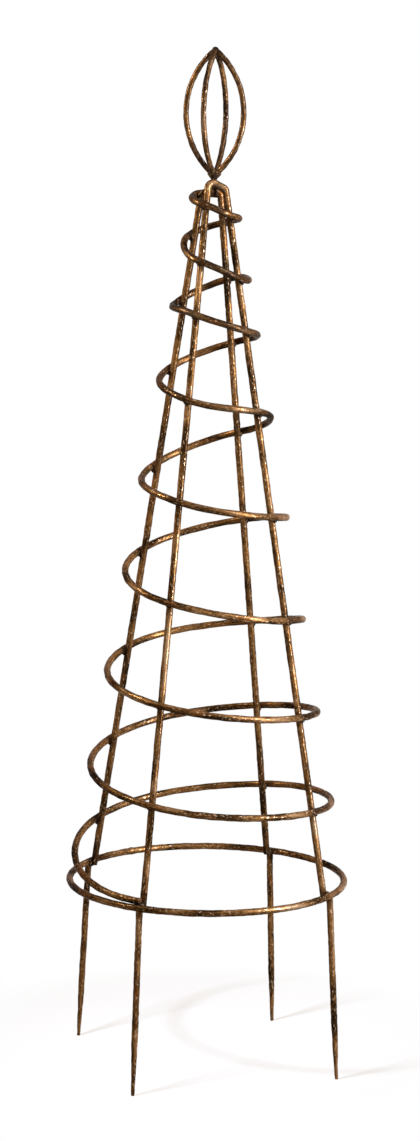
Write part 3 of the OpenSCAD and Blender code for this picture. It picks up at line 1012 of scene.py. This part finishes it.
class OBELISK_OT_stage(bpy.types.Operator):
    """Set the pale floor, the soft lights and the camera"""

    bl_idname = "obelisk.stage"
    bl_label = "Stage"

    def execute(self, context):
        floor = self.lay_floor()
        self.light_world(context.scene)
        for box in OBELISK_LAMPS:
            self.share_light(self.lamp(box), floor, "EXCLUDE")
        ring = [bpy.data.objects["dressed_base_ring"]]
        stakes = [bpy.data.objects["dressed_stake_" + corner] for corner in CORNERS]
        for box, shaders in ((RING_FLOOR_LAMP, ring), (STAKE_FLOOR_LAMP, stakes)):
            lamp = self.lamp(box)
            self.share_light(lamp, floor, "INCLUDE")
            self.shade_by(lamp, shaders)
        self.place_camera(context.scene)
        context.scene.view_settings.view_transform = "Standard"
        return {"FINISHED"}

    def lay_floor(self):
        """A wide round sheet just under the stake tips, its middle a little beyond the obelisk. Its
        rings grow by the square of their number."""
        rings, sides, reach, first, gap, beyond = 24, 96, 9.0, 0.02, 0.0002, 0.1
        r = reach * np.linspace(first, 1, rings) ** 2
        angle = TURN * np.arange(sides) / sides
        points = polar(r[:, None], angle[None], -gap).reshape(-1, 3)
        points = np.concatenate([points, [[0, 0, -gap]]])
        k = np.arange(sides)
        fan = np.stack([np.full(sides, len(points) - 1), k, (k + 1) % sides], -1)
        quads = grid_quads(rings, sides, False)[:, ::-1]
        floor = build_mesh("floor", points, quads, fan, self.pale_floor(), {})
        floor.location = seen_from_camera(0, beyond, 0)
        return floor

    def pale_floor(self):
        """What the camera sees, also mirrored, is lit paper under a warm veil, so that shadows are
        pale and warm, and it fades to white away from the obelisk. Other rays meet a dull
        sheet."""
        fade_start, fade_end = 0.22, 0.44
        n = Shader(bpy.data.materials.new("pale_floor"))
        dull = n.node("ShaderNodeBsdfDiffuse", {"Color": (0.3, 0.3, 0.3, 1)})[0]
        paper = n.node("ShaderNodeBsdfDiffuse", {"Color": (0.85, 0.85, 0.85, 1)})[0]
        veil = n.node("ShaderNodeEmission", {"Color": (1, 0.885, 0.70, 1), "Strength": 0.523})[0]
        veiled = n.node("ShaderNodeAddShader", {0: paper, 1: veil})[0]
        white = n.node("ShaderNodeEmission", {"Color": (1, 1, 1, 1), "Strength": 1.0})[0]
        away = n.ramp(n.length(n.object_place()), fade_start, fade_end)
        faded = n.node("ShaderNodeMixShader", {0: away, 1: veiled, 2: white})[0]
        seen = n.node("ShaderNodeMixShader", {0: n.background_rays(), 1: dull, 2: faded})[0]
        n.node("ShaderNodeOutputMaterial", {"Surface": seen})
        return n.owner

    def light_world(self, scene):
        """White where the camera sees it, and a soft grey light on the object."""
        n = Shader(bpy.data.worlds.new("studio"))
        fill = n.node("ShaderNodeBackground", {"Color": (1, 1, 1, 1), "Strength": 0.14})[0]
        white = n.node("ShaderNodeBackground", {"Color": (1, 1, 1, 1), "Strength": 1.0})[0]
        seen = n.node("ShaderNodeMixShader", {0: n.background_rays(), 1: fill, 2: white})[0]
        n.node("ShaderNodeOutputWorld", {"Surface": seen})
        scene.world = n.owner

    def lamp(self, box):
        """A softbox at its place, turned to its target."""
        light = bpy.data.lights.new(box.name, "AREA")
        light.shape = "RECTANGLE"
        light.size, light.size_y = box.size
        light.energy = box.power
        light.color = box.tint
        light.spread = box.spread
        lamp = bpy.data.objects.new(box.name, light)
        bpy.context.scene.collection.objects.link(lamp)
        lamp.location = seen_from_camera(*box.place)
        aim = seen_from_camera(*box.target) - lamp.location
        lamp.rotation_euler = aim.to_track_quat("-Z", "Y").to_euler()
        return lamp

    def share_light(self, lamp, piece, state):
        """Let a lamp light everything but one piece, or that piece alone, as flags do."""
        flagged = bpy.data.collections.new("flagged_for_" + lamp.name)
        flagged.objects.link(piece)
        flagged.collection_objects[0].light_linking.link_state = state
        lamp.light_linking.receiver_collection = flagged

    def shade_by(self, lamp, pieces):
        """Let only these pieces cast a shadow in a lamp's light."""
        shaders = bpy.data.collections.new("shaders_of_" + lamp.name)
        for piece in pieces:
            shaders.objects.link(piece)
        lamp.light_linking.blocker_collection = shaders

    def place_camera(self, scene):
        """The photograph's viewpoint: in front, a little to the left, tilted down and rolled."""
        lens = bpy.data.cameras.new("camera")
        lens.lens = CAMERA_LENS
        lens.sensor_width = 36.0
        lens.clip_end = 100.0
        camera = bpy.data.objects.new("camera", lens)
        scene.collection.objects.link(camera)
        camera.location = seen_from_camera(0, -CAMERA_DISTANCE, CAMERA_HEIGHT)
        turn = (Matrix.Rotation(CAMERA_AZIMUTH, 4, "Z")
                @ Matrix.Rotation(math.pi / 2 - CAMERA_TILT, 4, "X")
                @ Matrix.Rotation(CAMERA_ROLL, 4, "Z"))
        camera.rotation_euler = turn.to_euler()
        scene.camera = camera


class OBELISK_PT_panel(bpy.types.Panel):
    """Lists the sizes, the colours and the steps of the obelisk"""

    bl_idname = "OBELISK_PT_panel"
    bl_label = "Garden Obelisk"
    bl_space_type = "VIEW_3D"
    bl_region_type = "UI"
    bl_category = "Obelisk"

    def draw(self, context):
        for group in (context.scene.obelisk_sizes, context.scene.obelisk_finish):
            box = self.layout.box()
            for key in group.bl_rna.properties.keys():
                if key not in ("rna_type", "name"):
                    box.prop(group, key)
        for operator in OPERATORS:
            self.layout.operator(operator.bl_idname)


OPERATORS = (
    OBELISK_OT_leg_hoops, OBELISK_OT_base_ring, OBELISK_OT_ground_stakes, OBELISK_OT_spiral_rod,
    OBELISK_OT_finial, OBELISK_OT_weld_beads, OBELISK_OT_stage)
CLASSES = (ObeliskSizes, ObeliskFinish, *OPERATORS, OBELISK_PT_panel)


def register():
    """Add the classes and hang the settings on the scene."""
    for cls in CLASSES:
        bpy.utils.register_class(cls)
    bpy.types.Scene.obelisk_sizes = bpy.props.PointerProperty(type=ObeliskSizes)
    bpy.types.Scene.obelisk_finish = bpy.props.PointerProperty(type=ObeliskFinish)


def unregister():
    """Take the settings and the classes away again."""
    del bpy.types.Scene.obelisk_finish
    del bpy.types.Scene.obelisk_sizes
    for cls in reversed(CLASSES):
        bpy.utils.unregister_class(cls)


def main():
    """Make every piece in order."""
    register()
    bpy.ops.obelisk.leg_hoops()
    bpy.ops.obelisk.base_ring()
    bpy.ops.obelisk.ground_stakes()
    bpy.ops.obelisk.spiral_rod()
    bpy.ops.obelisk.finial()
    bpy.ops.obelisk.weld_beads()
    bpy.ops.obelisk.stage()


if __name__ == "__main__":
    main()
